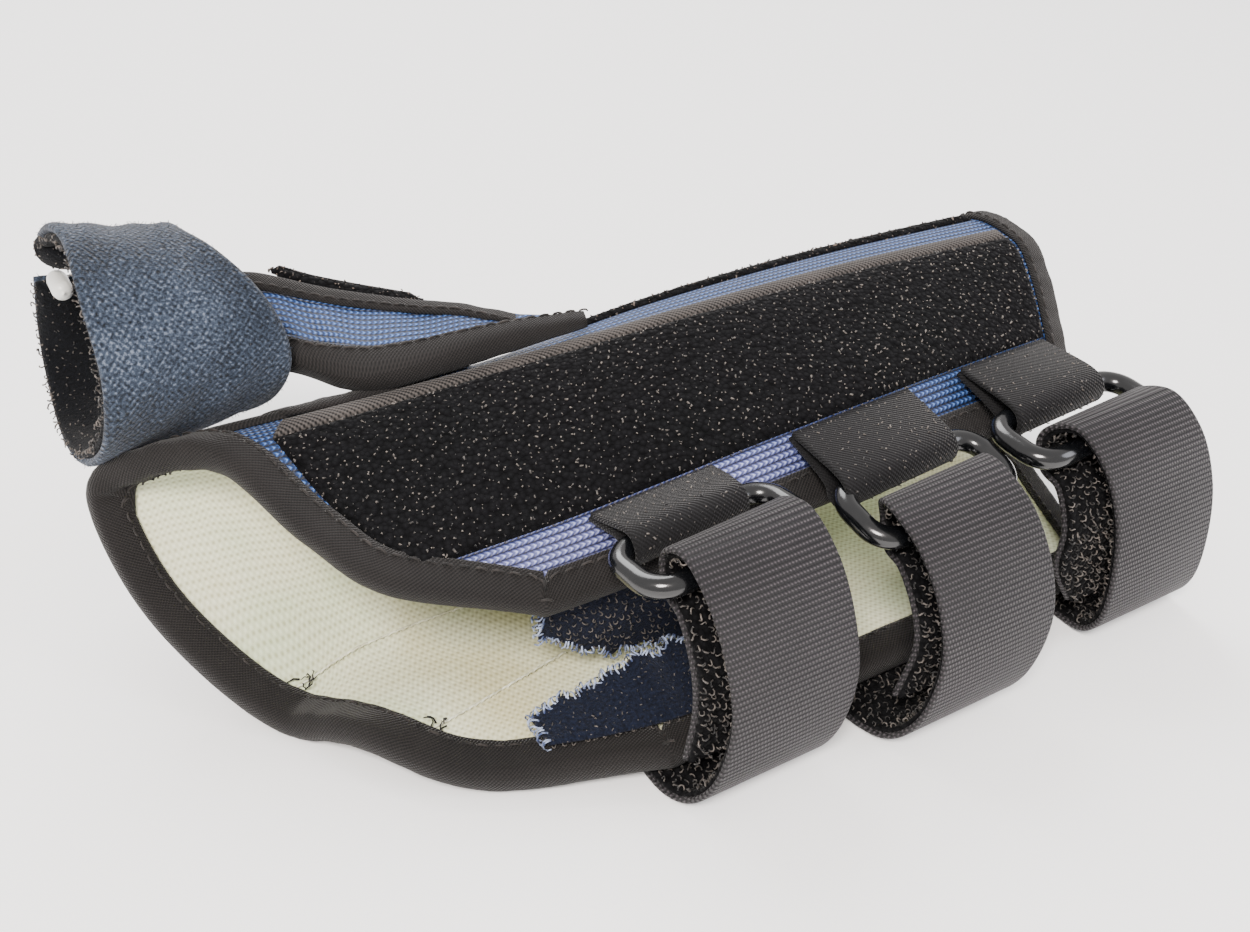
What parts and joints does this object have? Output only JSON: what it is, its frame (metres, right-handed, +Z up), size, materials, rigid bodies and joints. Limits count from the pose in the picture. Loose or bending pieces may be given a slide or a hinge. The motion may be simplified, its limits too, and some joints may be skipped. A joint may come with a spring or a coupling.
{
  "type": "wrist brace",
  "caption": "Wrist and forearm brace lying on its back: a padded cloth sleeve open along one side, closed by straps through plastic rings, with a bound thumb hole and a thumb loop on a tongue.",
  "frame": {"origin": "middle of the bounding box's footprint, on the surface it lies on", "axes": "+X along the sleeve from the hand end to the forearm end, +Y from the open side to the closed side, +Z up"},
  "size_m": [0.224, 0.1542, 0.0918],
  "materials": {
    "blue_knit": "satin rib knit",
    "cream_lining": "fine ribbed cloth",
    "black_pile": "loop pile",
    "brown_pile": "loop pile",
    "twill_tape": "twill tape",
    "rib_tape": "ribbed tape",
    "grey_webbing": "fine ribbed webbing",
    "blue_pile": "short pile",
    "navy_cloth": "plain cloth",
    "black_plastic": "gloss",
    "pale_plastic": "satin"
  },
  "bodies": {
    "root": {"cover": "blue_knit", "lining": "cream_lining", "mouth_binding": "twill_tape", "forearm_binding": "twill_tape", "bottom_edge_binding": "twill_tape", "top_edge_binding": "twill_tape", "thumb_hole_binding": "twill_tape", "front_plush": "black_pile", "panel_tape": "rib_tape", "rear_plush": "brown_pile", "ring_1": "black_plastic", "strap_1": "grey_webbing", "ring_tab_1": "black_pile", "ring_2": "black_plastic", "strap_2": "grey_webbing", "ring_tab_2": "black_pile", "ring_3": "black_plastic", "strap_3": "grey_webbing", "ring_tab_3": "black_pile", "thumb_tongue": "blue_knit", "tongue_near_binding": "twill_tape", "tongue_far_binding": "twill_tape", "tongue_pile": "black_pile", "thumb_strap": "blue_pile", "thumb_stay_tip": "pale_plastic", "upper_flap": "navy_cloth", "lower_flap": "navy_cloth"}
  },
  "joints": []
}
